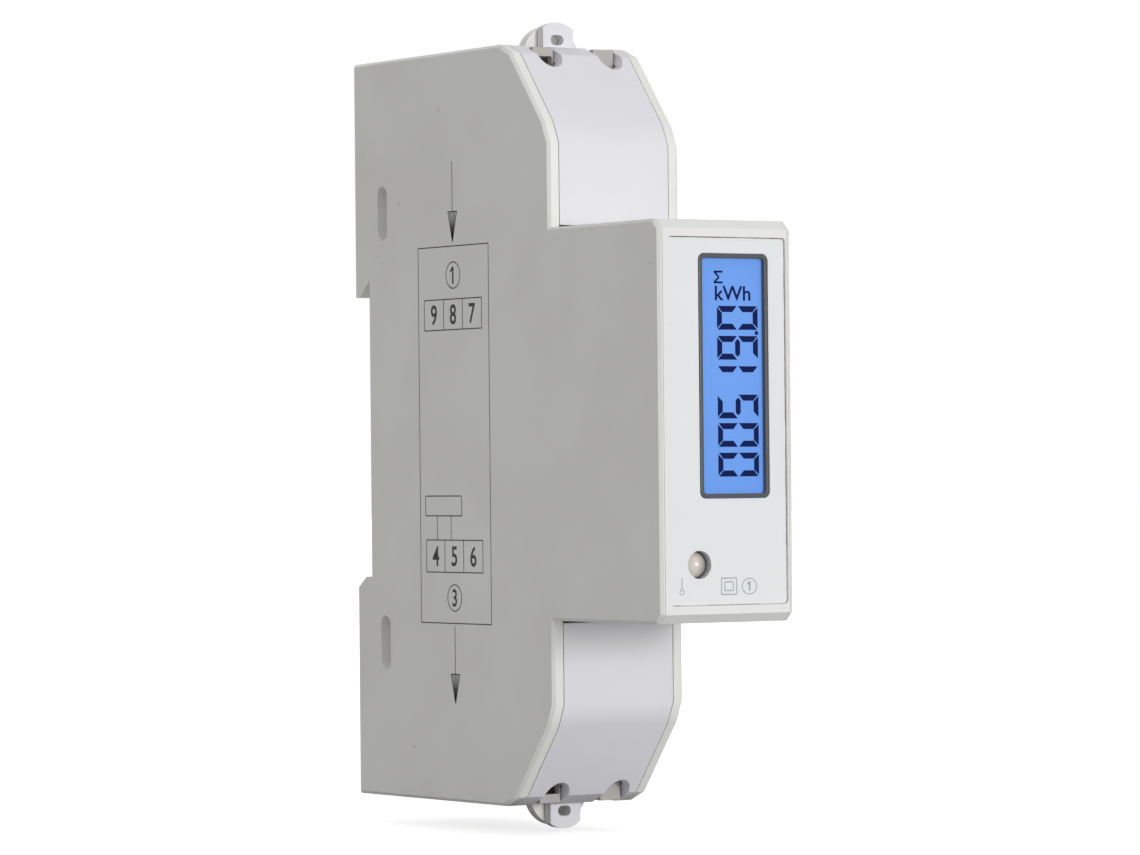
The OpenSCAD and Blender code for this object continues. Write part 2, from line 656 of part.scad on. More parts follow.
// Moulded strip that holds the three small terminals of one end
module terminal_block() {
    low = main_z + 4.6;
    high = half_h - cover_t - 0.85;
    top_y = corner_b[0] + 1.3;
    width = inner_x - 0.2;
    color("#cbc8c0") difference() {
        union() {
            along_x(-width, width) polygon([[small_head_front - 0.4, low], [small_back + 0.6, low],
                [small_back + 0.6, end_in_z - 0.1], [lug_front - 0.1, end_in_z - 0.1], [lug_front - 0.1, high], [top_y, high],
                [top_y - 0.1, high - 0.35], [small_head_front - 0.4, low + 3.6]]);
            for (x = [-notch_left, notch_right]) block([x - notch_r + 0.25, top_y, high - 0.1],
                [x + notch_r - 0.25, top_y + 0.9, half_h - 0.2]);
        }
        for (i = [-1:1]) translate([i * small_pitch, 0, 0]) {
            translate([0, 0, small_z]) {
                along_y(small_head_front - 2, small_seat_front) circle(d = small_head_d + 0.2, $fn = fine);
                along_y(small_head_front, small_back) circle(d = small_d + 0.2, $fn = fine);
            }
            // Room for the moving cage, and the way of the wire to it
            block([-small_cage_w / 2 - 0.1, small_seat_front + small_seat_t, small_z - small_cage_l / 2 - 0.1],
                [small_cage_w / 2 + 0.1, small_back + 0.1, small_z + small_cage_l / 2 + 0.1]);
            block([-strip_w / 2 - 0.15, strip_front - 0.1, low - 1], [strip_w / 2 + 0.15, small_back_in, half_h + 1]);
            block([-small_cage_w / 2 - 0.1, top_y - 1, half_h - (i > 0 ? 4.8 : 3.4)],
                [small_cage_w / 2 + 0.1, small_wire_front, half_h - (i > 0 ? 3.2 : 1.25)]);
        }
        block([pin_x[1] - 0.5, strip_front - 0.1, low - 1], [0, small_wire_front + 0.1, low + 0.9]);
    }
}

// Fixed strips that the small cages pull the wires against, and their pins down to the link board
module contact_strips() {
    link_top = small_z - small_cage_l / 2 - 0.15;
    color("#c8c2b2") for (i = [0:2]) let (x = (i - 1) * small_pitch) {
        block([x - strip_w / 2, strip_front, link_top - 0.4], [x + strip_w / 2, small_wire_front, half_h - 2]);
        block([min(pin_x[i] - pin_w / 2, x), strip_front, link_top - 0.4], [max(pin_x[i] + pin_w / 2, x), small_wire_front, link_top]);
        block([pin_x[i] - pin_w / 2, strip_front, link_z - 0.8], [pin_x[i] + pin_w / 2, small_wire_front, link_top]);
    }
}

module link_board() {
    color("#2f6b4a") difference() {
        block([-inner_x + 0.8, strip_front - 4, link_z], [board_left - 0.05, strip_front + 4, link_z + link_t]);
        for (x = pin_x) block([x - 0.4, strip_front - 0.1, link_z - 1], [x + 0.4, small_wire_front + 0.1, link_z + link_t + 1]);
    }
}

module small_cage(i) color("#c0bba9") translate([i * small_pitch, 0, small_z])
    cage(small_cage_w, small_cage_l, small_plate_front, small_back, small_plate_t, 0.6, small_wall, small_d + 2 * thread_gap);
module small_screw(i) color("#c3c5c8") translate([i * small_pitch, 0, small_z])
    cross_screw(small_head_front, small_head_t, strip_front - 0.1, small_d, small_head_d);

case_tub();
case_lid();
front_bezel();
front_panel();
display_frame();
lcd_glass();
lcd_backlight();
lcd_pins();
pulse_lamp();
display_board();
main_board();
board_header();
metering_chip();
controller_chip();
quartz_crystal();
optocouplers();
dropper_capacitor();
filter_capacitor();
surge_varistor();
current_shunt();
sense_leads();
rail_clip();
clip_spring();
color("#e4e4ea") cover();  // upper_cover
color("#e4e4ea") at_end(-1) cover();  // lower_cover
main_cage();  // upper_main_cage
at_end(-1) main_cage();  // lower_main_cage
main_screw();  // upper_main_screw
at_end(-1) main_screw();  // lower_main_screw
current_bar();  // upper_current_bar
at_end(-1) current_bar();  // lower_current_bar
terminal_block();  // upper_terminal_block
at_end(-1) terminal_block();  // lower_terminal_block
contact_strips();  // upper_contact_strips
at_end(-1) contact_strips();  // lower_contact_strips
link_board();  // upper_link_board
at_end(-1) link_board();  // lower_link_board
small_cage(-1);  // upper_small_cage_left
small_cage(0);  // upper_small_cage_middle
small_cage(1);  // upper_small_cage_right
at_end(-1) small_cage(-1);  // lower_small_cage_left
at_end(-1) small_cage(0);  // lower_small_cage_middle
at_end(-1) small_cage(1);  // lower_small_cage_right
small_screw(-1);  // upper_small_screw_left
small_screw(0);  // upper_small_screw_middle
small_screw(1);  // upper_small_screw_right
at_end(-1) small_screw(-1);  // lower_small_screw_left
at_end(-1) small_screw(0);  // lower_small_screw_middle
at_end(-1) small_screw(1);  // lower_small_screw_right
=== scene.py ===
import json
import math

import bpy
from mathutils import Matrix, Vector

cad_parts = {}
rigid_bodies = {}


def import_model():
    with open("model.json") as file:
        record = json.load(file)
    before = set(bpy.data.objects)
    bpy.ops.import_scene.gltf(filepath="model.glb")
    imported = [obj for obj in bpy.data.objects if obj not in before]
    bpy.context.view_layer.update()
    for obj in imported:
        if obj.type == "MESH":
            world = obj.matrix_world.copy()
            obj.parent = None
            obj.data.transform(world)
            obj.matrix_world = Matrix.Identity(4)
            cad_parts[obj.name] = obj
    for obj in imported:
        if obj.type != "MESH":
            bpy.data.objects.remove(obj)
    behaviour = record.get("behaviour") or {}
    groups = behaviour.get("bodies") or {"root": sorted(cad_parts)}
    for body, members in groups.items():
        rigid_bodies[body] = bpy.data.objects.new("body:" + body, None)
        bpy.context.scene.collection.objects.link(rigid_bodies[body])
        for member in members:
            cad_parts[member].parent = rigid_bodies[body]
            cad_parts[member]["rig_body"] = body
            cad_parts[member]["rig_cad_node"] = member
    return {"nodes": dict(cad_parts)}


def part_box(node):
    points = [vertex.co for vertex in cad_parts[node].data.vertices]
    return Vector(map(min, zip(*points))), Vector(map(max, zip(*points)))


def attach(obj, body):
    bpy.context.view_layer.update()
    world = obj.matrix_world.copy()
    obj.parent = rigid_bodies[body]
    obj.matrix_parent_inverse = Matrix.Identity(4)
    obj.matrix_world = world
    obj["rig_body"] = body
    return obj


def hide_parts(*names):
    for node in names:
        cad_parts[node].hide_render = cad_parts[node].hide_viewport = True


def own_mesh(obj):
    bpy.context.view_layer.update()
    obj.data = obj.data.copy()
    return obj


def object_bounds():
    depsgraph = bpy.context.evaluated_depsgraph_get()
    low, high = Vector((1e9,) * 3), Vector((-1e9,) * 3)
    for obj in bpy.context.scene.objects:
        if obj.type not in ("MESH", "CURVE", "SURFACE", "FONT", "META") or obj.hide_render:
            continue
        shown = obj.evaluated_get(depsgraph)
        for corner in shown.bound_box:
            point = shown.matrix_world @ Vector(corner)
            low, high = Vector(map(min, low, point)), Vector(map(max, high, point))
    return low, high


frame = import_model()
cad_box = [list(corner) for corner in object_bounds()]
nodes = frame["nodes"]
mm = 0.001


# Camera, floor and lamps. The meter hangs on a rail in use, so the floor only
# just clears its lower sealing tab. The key lamp stands in front, level with
# the meter, which leaves the printed side in soft shade.
eye = Vector((-325.69, -531.88, -5.81)) * mm
ahead = Vector((0.54462, 0.83864, 0.0092)).normalized()
level = ahead.cross(Vector((0, 0, 1))).normalized()
upright = level.cross(ahead)
roll = math.radians(-0.5563)
camera_right = level * math.cos(roll) + upright * math.sin(roll)
camera_up = upright * math.cos(roll) - level * math.sin(roll)
bpy.ops.object.camera_add(location=eye)
camera = bpy.context.object
camera.rotation_euler = Matrix((camera_right, camera_up, -ahead)).transposed().to_euler()
camera.data.sensor_width = 36
camera.data.lens = 161.62
camera.data.clip_start = 0.02
bpy.context.scene.camera = camera
bpy.context.scene.view_settings.view_transform = "Standard"


def add_node(tree, kind, **sockets):
    """Adds a shader node; each named socket gets a value, or a link from another node's socket."""
    made = tree.nodes.new("ShaderNode" + kind)
    for name, value in sockets.items():
        by_number = name[0] == "i" and name[1:].isdigit()
        socket = made.inputs[int(name[1:]) if by_number else name.replace("_", " ")]
        if isinstance(value, bpy.types.NodeSocket):
            tree.links.new(value, socket)
        else:
            socket.default_value = value
    return made


def arithmetic(tree, operation, a, b=0.0, clamp=False):
    made = add_node(tree, "Math", i0=a, i1=b)
    made.operation = operation
    made.use_clamp = clamp
    return made.outputs[0]


def blend_colors(tree, factor, a, b, way="MIX"):
    made = tree.nodes.new("ShaderNodeMix")
    made.data_type = "RGBA"
    made.blend_type = way
    for index, value in ((0, factor), (6, a), (7, b)):
        if isinstance(value, bpy.types.NodeSocket):
            tree.links.new(value, made.inputs[index])
        else:
            made.inputs[index].default_value = value
    return made.outputs[2]


def tone(red, green, blue):
    """A colour as it shows on a screen, from 0 to 255, made linear."""
    shares = [value / 255 for value in (red, green, blue)]
    return [((v + 0.055) / 1.055) ** 2.4 if v > 0.04 else v / 12.92 for v in shares] + [1]


world = bpy.data.worlds.new("studio")
bpy.context.scene.world = world
world.use_nodes = True
sky = world.node_tree
sky.nodes.clear()
path = add_node(sky, "LightPath")
seen = arithmetic(sky, "MAXIMUM", path.outputs["Is Camera Ray"], path.outputs["Is Transmission Ray"])
dim = add_node(sky, "Background", Color=(1, 0.995, 0.99, 1), Strength=0.5)
bright = add_node(sky, "Background", Color=(1, 1, 1, 1), Strength=1)
joined = add_node(sky, "MixShader", i0=seen, i1=dim.outputs[0], i2=bright.outputs[0])
add_node(sky, "OutputWorld", Surface=joined.outputs[0])

bpy.ops.mesh.primitive_plane_add(size=8, location=(0, 0, cad_box[0][2] - 0.0004))
floor = bpy.context.object
floor.name = "floor"
paper = bpy.data.materials.new("paper")
paper.use_nodes = True
shader = paper.node_tree.nodes["Principled BSDF"]
shader.inputs["Base Color"].default_value = (0.5, 0.5, 0.5, 1)
shader.inputs["Roughness"].default_value = 0.9
shader.inputs["Specular IOR Level"].default_value = 0.1
tree = paper.node_tree
path = add_node(tree, "LightPath")
centred = add_node(tree, "TexCoord").outputs["Object"]
away = add_node(tree, "VectorMath", i0=centred)
away.operation = "LENGTH"
far = add_node(tree, "MapRange", Value=away.outputs["Value"], i1=0.05, i2=0.4, i3=0.76, i4=1)
glow = arithmetic(tree, "MULTIPLY", path.outputs["Is Camera Ray"], far.outputs[0])
tree.links.new(blend_colors(tree, glow, (0, 0, 0, 1), (1, 1, 1, 1)), shader.inputs["Emission Color"])
shader.inputs["Emission Strength"].default_value = 1
floor.data.materials.append(paper)

for name, place, size, power in (
    ("key", (0.12, -1.2, 0.03), 0.45, 9.1),
    ("fill", (-1.1, -0.5, 0.25), 1.0, 1.0),
    ("top", (0.1, 0.1, 1.3), 0.9, 0.6),
    ("back", (0.5, 1.3, 0.6), 0.8, 4.0),
):
    bpy.ops.object.light_add(type="AREA", location=place)
    lamp = bpy.context.object
    lamp.name = name
    lamp.data.size = size
    lamp.data.energy = power
    lamp.rotation_euler = (-Vector(place)).to_track_quat("-Z", "Y").to_euler()


# The case is a deep tub and a lid, moulded in light grey ABS. The tub holds all
# that is inside, and six pins of the lid press into its bosses. The skin is
# faintly grained, with a few dark specks in the pellets and on the surface.
skin = bpy.data.node_groups.new("moulded_skin", "ShaderNodeTree")
for name, kind in (("Tone", "Color"), ("Roughness", "Float"), ("Specks", "Float"), ("Clouding", "Float")):
    skin.interface.new_socket(name=name, in_out="INPUT", socket_type="NodeSocket" + kind)
for name, kind in (("Color", "Color"), ("Roughness", "Float"), ("Height", "Float")):
    skin.interface.new_socket(name=name, in_out="OUTPUT", socket_type="NodeSocket" + kind)
given = skin.nodes.new("NodeGroupInput")
place = add_node(skin, "TexCoord").outputs["Object"]
grain = add_node(skin, "TexNoise", Vector=place, Scale=2400, Detail=3, Roughness=0.6)
cloud = add_node(skin, "TexNoise", Vector=place, Scale=70, Detail=3, Roughness=0.5)
dots = add_node(skin, "TexVoronoi", Vector=place, Scale=330, Randomness=1)
sparse = add_node(skin, "TexNoise", Vector=place, Scale=140, Detail=1)
few = add_node(skin, "MapRange", Value=sparse.outputs[0], i1=0.6, i2=0.66, i3=0, i4=1)
round_dot = add_node(skin, "MapRange", Value=dots.outputs["Distance"], i1=0.03, i2=0.07, i3=1, i4=0)
speck = arithmetic(skin, "MULTIPLY", few.outputs[0], round_dot.outputs[0])
speck = arithmetic(skin, "MULTIPLY", speck, given.outputs["Specks"], clamp=True)
shaded = blend_colors(skin, 1.0, given.outputs["Tone"], (0.9, 0.895, 0.885, 1), "MULTIPLY")
patch = add_node(skin, "MapRange", Value=cloud.outputs[0], i1=0.35, i2=0.7, i3=0, i4=1)
patch = arithmetic(skin, "MULTIPLY", patch.outputs[0], given.outputs["Clouding"])
clouded = blend_colors(skin, patch, given.outputs["Tone"], shaded)
specked = blend_colors(skin, speck, clouded, (0.16, 0.14, 0.11, 1))
uneven = arithmetic(skin, "MULTIPLY", arithmetic(skin, "SUBTRACT", cloud.outputs[0], 0.5), 0.16)
outcome = skin.nodes.new("NodeGroupOutput")
skin.links.new(specked, outcome.inputs["Color"])
roughened = arithmetic(skin, "ADD", given.outputs["Roughness"], uneven, clamp=True)
skin.links.new(roughened, outcome.inputs["Roughness"])
skin.links.new(grain.outputs[0], outcome.inputs["Height"])


def moulded(name, colour, roughness, grain_depth=0.006, specks=0.0, clouding=0.5, coat=0.0):
    """Injection-moulded plastic: the skin group on a Principled shader; grain_depth is in mm."""
    material = bpy.data.materials.new(name)
    material.use_nodes = True
    tree = material.node_tree
    body = tree.nodes["Principled BSDF"]
    surface = tree.nodes.new("ShaderNodeGroup")
    surface.node_tree = skin
    surface.inputs["Tone"].default_value = colour
    surface.inputs["Roughness"].default_value = roughness
    surface.inputs["Specks"].default_value = specks
    surface.inputs["Clouding"].default_value = clouding
    relief = add_node(tree, "Bump", Strength=0.5, Distance=grain_depth * mm, Height=surface.outputs["Height"])
    tree.links.new(surface.outputs["Color"], body.inputs["Base Color"])
    tree.links.new(surface.outputs["Roughness"], body.inputs["Roughness"])
    tree.links.new(relief.outputs[0], body.inputs["Normal"])
    body.inputs["Coat Weight"].default_value = coat
    body.inputs["Coat Roughness"].default_value = 0.2
    body.inputs["IOR"].default_value = 1.5
    return material


def twin(node, name):
    """A free copy of a CAD node, to be reshaped and shown in the node's place."""
    piece = nodes[node].copy()
    piece.data = nodes[node].data.copy()
    piece.name = name
    piece.parent = None
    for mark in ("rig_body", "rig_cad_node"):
        if mark in piece:
            del piece[mark]
    bpy.context.collection.objects.link(piece)
    return piece


def moulding(node, body, material, radius):
    """A copy of a CAD node with its sharp edges rounded by radius mm, shown in place of the node."""
    bpy.ops.object.select_all(action="DESELECT")
    piece = twin(node, node + "_moulding")
    piece.select_set(True)
    bpy.context.view_layer.objects.active = piece
    bpy.ops.mesh.customdata_custom_splitnormals_clear()
    bpy.ops.object.mode_set(mode="EDIT")
    bpy.ops.mesh.select_all(action="SELECT")
    bpy.ops.mesh.remove_doubles(threshold=0.002 * mm)
    bpy.ops.mesh.dissolve_limited(angle_limit=math.radians(0.4))
    bpy.ops.object.mode_set(mode="OBJECT")
    edge = piece.modifiers.new("edges", "BEVEL")
    edge.width = radius * mm
    edge.segments = 3
    edge.limit_method = "ANGLE"
    edge.angle_limit = math.radians(28)
    edge.use_clamp_overlap = True
    bpy.ops.object.modifier_apply(modifier="edges")
    bpy.ops.object.shade_smooth_by_angle(angle=math.radians(32))
    # a fold between two broad faces stays crisp, however shallow it is
    beside = {}
    for face in piece.data.polygons:
        if face.area > 3 * mm * mm:
            for key in face.edge_keys:
                beside.setdefault(key, []).append(face.normal)
    for line in piece.data.edges:
        pair = beside.get(line.key, [])
        if len(pair) == 2 and pair[0].angle(pair[1], 0) > math.radians(6):
            line.use_edge_sharp = True
    # broad faces shade flat right up to their rounded edges
    even = piece.modifiers.new("even", "WEIGHTED_NORMAL")
    even.weight = 100
    even.keep_sharp = True
    bpy.ops.object.modifier_apply(modifier="even")
    piece.data.materials.clear()
    piece.data.materials.append(material)
    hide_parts(node)
    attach(piece, body)
    return piece


def dress(node, material):
    """Gives a CAD node its material."""
    for held in nodes[node].material_slots:
        held.material = material


case_grey = moulded("case_grey", tone(243, 243, 239), 0.48, 0.008, specks=0.6, clouding=0.6)
moulding("case_tub", "case", case_grey, 0.14)
moulding("case_lid", "case", case_grey, 0.14)


# The wiring diagram is pad-printed in dark grey on the left side: a frame with
# the numbered terminals in it, and an arrow in and an arrow out. The print is
# a film of ink of a few thousandths of a millimetre. Its places are y and z, in mm.
ink = moulded("print_ink", tone(74, 74, 72), 0.6, 0.004, clouding=0.9)
INK_LIFT = 0.006


def placed(piece, across, upward, spot):
    """Turns a flat piece made in its own XY plane so that X runs across and Y runs upward, at spot."""
    across, upward = Vector(across), Vector(upward)
    turn = Matrix((across, upward, across.cross(upward))).transposed().to_4x4()
    piece.matrix_world = Matrix.Translation(Vector(spot)) @ turn
    bpy.ops.object.select_all(action="DESELECT")
    piece.select_set(True)
    bpy.context.view_layer.objects.active = piece
    bpy.ops.object.transform_apply(location=True, rotation=True, scale=True)
    return piece


def stroke(start, end, width, facing, lift_from):
    """A printed line from start to end in mm, a flat strip that faces the way of facing."""
    start, end = Vector(start) * mm, Vector(end) * mm
    along = (end - start).normalized()
    bpy.ops.mesh.primitive_plane_add(size=1)
    piece = bpy.context.object
    piece.scale = ((end - start).length, width * mm, 1)
    bpy.ops.object.transform_apply(location=False, rotation=False, scale=True)
    facing = Vector(facing)
    return placed(piece, along, facing.cross(along), (start + end) / 2 + facing * lift_from * mm)


def printed_ring(centre, radius, width, across, upward, lift_from):
    bpy.ops.mesh.primitive_circle_add(vertices=40, radius=radius * mm, fill_type="NGON")
    piece = bpy.context.object
    bpy.ops.object.mode_set(mode="EDIT")
    bpy.ops.mesh.select_all(action="SELECT")
    bpy.ops.mesh.inset(thickness=width * mm)
    bpy.ops.mesh.delete(type="FACE")
    bpy.ops.object.mode_set(mode="OBJECT")
    facing = Vector(across).cross(Vector(upward))
    return placed(piece, across, upward, Vector(centre) * mm + facing * lift_from * mm)


def numeral(words, height, centre, across, upward, lift_from, squeeze=1.0):
    bpy.ops.object.text_add()
    piece = bpy.context.object
    piece.data.body = words
    piece.data.size = height * mm / 0.7
    piece.data.offset = height * mm * 0.022
    piece.data.align_x = "CENTER"
    piece.data.resolution_u = 4
    bpy.ops.object.convert(target="MESH")
    piece = bpy.context.object
    middle = sum((Vector(corner) for corner in piece.bound_box), Vector()) / 8
    piece.data.transform(Matrix.Diagonal((squeeze, 1, 1, 1)) @ Matrix.Translation(-middle))
    facing = Vector(across).cross(Vector(upward))
    return placed(piece, across, upward, Vector(centre) * mm + facing * lift_from * mm)


def joined_print(pieces, name, material, body="case"):
    bpy.ops.object.select_all(action="DESELECT")
    for piece in pieces:
        piece.select_set(True)
    bpy.context.view_layer.objects.active = pieces[0]
    bpy.ops.object.join()
    whole = bpy.context.object
    whole.name = name
    whole.data.materials.clear()
    whole.data.materials.append(material)
    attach(whole, body)
    return whole


side_x = cad_box[0][0] / mm
side_line = 0.13
CELL_NUMBER = 2.3
POST_NUMBER = 2.0


def side_stroke(y0, z0, y1, z1, width=side_line):
    return stroke((side_x, y0, z0), (side_x, y1, z1), width, (-1, 0, 0), INK_LIFT)


diagram = []
boxes = (
    (-11.4, 21.24, -27.07, -23.2),
    (-12.7, 15.0, -25.5, 11.4),
    (-12.7, -13.4, -25.3, -17.2),
    (-12.6, -8.2, -20.7, -10.54),
)
for y0, z0, y1, z1 in boxes:
    diagram += [side_stroke(y0, z0, y1, z0), side_stroke(y1, z0, y1, z1)]
    diagram += [side_stroke(y1, z1, y0, z1), side_stroke(y0, z1, y0, z0)]
for y in (-17.05, -21.26):
    diagram.append(side_stroke(y, 15.0, y, 11.4))
for y in (-16.85, -21.04):
    diagram.append(side_stroke(y, -13.4, y, -17.2))
for y in (-15.2, -18.3):
    diagram.append(side_stroke(y, -10.54, y, -13.4))
for y, z_start, z_head, z_tip in ((-19.2, 31.2, 25.3, 21.75), (-18.95, -23.5, -29.2, -32.6)):
    diagram.append(side_stroke(y, z_start, y, z_head))
    diagram.append(side_stroke(y - 1.03, z_head, y + 1.03, z_head))
    for spread in (-0.98, -0.66, -0.33, 0, 0.33, 0.66, 0.98):
        diagram.append(side_stroke(y + spread, z_head, y, z_tip, 0.15))
for y, z in ((-19.22, 17.81), (-18.96, -20.2)):
    diagram.append(printed_ring((side_x, y, z), 1.62, side_line, (0, -1, 0), (0, 0, 1), INK_LIFT))
for words, y, z, height in (
    ("1", -19.2, 17.8, POST_NUMBER), ("3", -18.95, -20.2, POST_NUMBER),
    ("9", -14.87, 13.2, CELL_NUMBER), ("8", -19.15, 13.2, CELL_NUMBER), ("7", -23.4, 13.2, CELL_NUMBER),
    ("4", -14.8, -15.3, CELL_NUMBER), ("5", -18.95, -15.3, CELL_NUMBER), ("6", -23.2, -15.3, CELL_NUMBER),
):
    diagram.append(numeral(words, height, (side_x, y, z), (0, -1, 0), (0, 0, 1), INK_LIFT, 0.92))
diagram.append(side_stroke(-19.2, 18.75, -18.62, 18.2, 0.26))
joined_print(diagram, "side_diagram", ink)


# The bezel is a separate white moulding that closes the nose between the lips
# of the two shells. Years of handling leave a thin brown line of dirt in the
# seam round the panel, darker in patches.
bezel_white = moulded("bezel_white", tone(240, 240, 238), 0.5, 0.005, specks=0.25, clouding=0.35)
moulding("front_bezel", "case", bezel_white, 0.16)
panel_low, panel_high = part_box("front_panel")
panel_mid = (panel_low + panel_high) / 2
panel_size = panel_high - panel_low

seam_dirt = bpy.data.materials.new("seam_dirt")
seam_dirt.use_nodes = True
tree = seam_dirt.node_tree
shader = tree.nodes["Principled BSDF"]
shader.inputs["Roughness"].default_value = 0.85
place = add_node(tree, "TexCoord").outputs["Object"]
patches = add_node(tree, "TexNoise", Vector=place, Scale=260, Detail=4, Roughness=0.65)
amount = add_node(tree, "MapRange", Value=patches.outputs[0], i1=0.4, i2=0.72, i3=0.12, i4=0.95)
hue = blend_colors(tree, patches.outputs[0], tone(176, 158, 138), tone(112, 84, 58))
tree.links.new(hue, shader.inputs["Base Color"])
tree.links.new(amount.outputs[0], shader.inputs["Alpha"])

bpy.ops.object.select_all(action="DESELECT")
bpy.ops.mesh.primitive_plane_add(size=1)
seam = bpy.context.object
seam.scale = (panel_size.x + 0.1 * mm, panel_size.z + 0.1 * mm, 1)
bpy.ops.object.transform_apply(location=False, rotation=False, scale=True)
bpy.ops.object.mode_set(mode="EDIT")
bpy.ops.mesh.select_all(action="SELECT")
bpy.ops.mesh.bevel(offset=0.5 * mm, segments=5, affect="VERTICES")
bpy.ops.mesh.inset(thickness=0.11 * mm)
bpy.ops.mesh.delete(type="FACE")
bpy.ops.object.mode_set(mode="OBJECT")
placed(seam, (1, 0, 0), (0, 0, 1), (panel_mid.x, panel_low.y - 0.008 * mm, panel_mid.z))
joined_print([seam], "panel_seam", seam_dirt)


# The front panel is a printed polycarbonate film, white with a satin face, let
# into the bezel. It is cut out for the display and the pulse lamp, and carries
# a few small standard signs in grey.
film = moulded("panel_film", tone(238, 241, 243), 0.42, 0.002, specks=0.1, clouding=0.3, coat=0.1)
dress("front_panel", film)
faint_ink = moulded("faint_ink", tone(168, 176, 186), 0.5, 0.003, clouding=0.6)
panel_y = panel_low.y / mm


def panel_stroke(x0, z0, x1, z1, width=0.13):
    return stroke((x0, panel_y, z0), (x1, panel_y, z1), width, (0, -1, 0), INK_LIFT)


signs = []
square_x, square_z = 0.29, -18.44
ring_x, ring_z = 3.07, -18.48
probe_x, probe_top, probe_foot = -6.06, -17.41, -18.7
for half_w, half_h in ((1.02, 0.91), (0.57, 0.48)):
    left, right = square_x - half_w, square_x + half_w
    low, high = square_z - half_h, square_z + half_h
    signs += [panel_stroke(left, high, right, high), panel_stroke(right, high, right, low)]
    signs += [panel_stroke(right, low, left, low), panel_stroke(left, low, left, high)]
signs.append(printed_ring((ring_x, panel_y, ring_z), 1.04, 0.12, (1, 0, 0), (0, 0, 0.9), INK_LIFT))
signs.append(numeral("1", 1.05, (ring_x + 0.02, panel_y, ring_z), (1, 0, 0), (0, 0, 1), INK_LIFT, 1.15))
signs.append(panel_stroke(ring_x, ring_z + 0.49, ring_x - 0.28, ring_z + 0.21, 0.16))
signs.append(panel_stroke(probe_x, probe_top, probe_x, probe_foot, 0.12))
probe_tip = (probe_x, panel_y, probe_foot - 0.32)
signs.append(printed_ring(probe_tip, 0.34, 0.1, (1, 0, 0), (0, 0, 0.95), INK_LIFT))
joined_print(signs, "panel_signs", faint_ink)


# The display: a dark frame raised a little round the window, the glass of a
# backlit liquid crystal cell with its dark segments, and the light guide
# behind it. The digits read upward, and their places are in mm.
frame_grey = moulded("display_frame_grey", tone(84, 84, 88), 0.35, 0.003, clouding=0.6, coat=0.2)
moulding("display_frame", "case", frame_grey, 0.12)

cell_blue = bpy.data.materials.new("lit_cell")
cell_blue.use_nodes = True
tree = cell_blue.node_tree
shader = tree.nodes["Principled BSDF"]
place = add_node(tree, "TexCoord").outputs["Object"]
shadow_of_guide = add_node(tree, "TexNoise", Vector=place, Scale=55, Detail=2)
face_tone = blend_colors(tree, shadow_of_guide.outputs[0], tone(84, 126, 194), tone(94, 136, 204))
glow_tone = blend_colors(tree, shadow_of_guide.outputs[0], tone(104, 156, 241), tone(120, 170, 247))
tree.links.new(face_tone, shader.inputs["Base Color"])
tree.links.new(glow_tone, shader.inputs["Emission Color"])
shader.inputs["Emission Strength"].default_value = 0.4
shader.inputs["Roughness"].default_value = 0.18
shader.inputs["Specular IOR Level"].default_value = 0.3
dress("lcd_glass", cell_blue)

glass_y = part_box("lcd_glass")[0].y / mm
segment_ink = moulded("segment_ink", tone(6, 27, 88), 0.4, 0.002, clouding=0.3)
segment_ink.node_tree.nodes["Principled BSDF"].inputs["Specular IOR Level"].default_value = 0.1
CELL_W, CELL_H, SEG = 2.66, 5.55, 0.68
DIGIT_FOOT = 4.93
LIT = {"0": "abcdef", "1": "bc", "5": "acdfg", "9": "abcdfg"}


def segment(length, pointed):
    """One bar of a digit in its own XY plane: mitred at its ends, or pointed if it is the middle bar."""
    bpy.ops.object.select_all(action="DESELECT")
    bpy.ops.mesh.primitive_plane_add(size=1)
    piece = bpy.context.object
    piece.scale = (length * mm, SEG * mm, 1)
    bpy.ops.object.transform_apply(location=False, rotation=False, scale=True)
    if pointed:
        bpy.ops.object.mode_set(mode="EDIT")
        bpy.ops.mesh.select_all(action="SELECT")
        bpy.ops.mesh.bevel(offset=SEG * 0.48 * mm, segments=1, affect="VERTICES")
        bpy.ops.object.mode_set(mode="OBJECT")
    else:
        for vertex in piece.data.vertices:
            if vertex.co.y < 0:
                vertex.co.x *= 1 - 2 * SEG * 0.9 / length
    return piece


def digit(sign, z_low):
    """A seven-segment digit that reads upward: its foot is to the right and its head to the left."""
    bars = {
        "a": (CELL_W / 2, CELL_H - SEG / 2, 0), "d": (CELL_W / 2, SEG / 2, 180),
        "g": (CELL_W / 2, CELL_H / 2, 0),
        "f": (SEG / 2, CELL_H * 0.75, 90), "b": (CELL_W - SEG / 2, CELL_H * 0.75, -90),
        "e": (SEG / 2, CELL_H * 0.25, 90), "c": (CELL_W - SEG / 2, CELL_H * 0.25, -90),
    }
    foot = Vector((DIGIT_FOOT, glass_y - INK_LIFT, z_low)) * mm
    made = []
    for name in LIT[sign]:
        x, y, turn = bars[name]
        length = CELL_W - 0.3 if name in "adg" else CELL_H / 2 - 0.16
        piece = segment(length - (0.35 if name == "g" else 0), name == "g")
        spin = Matrix.Rotation(math.radians(turn), 4, "Z")
        piece.data.transform(Matrix.Translation((x * mm, y * mm, 0)) @ spin)
        made.append(placed(piece, (0, 0, 1), (-1, 0, 0), foot))
    return made


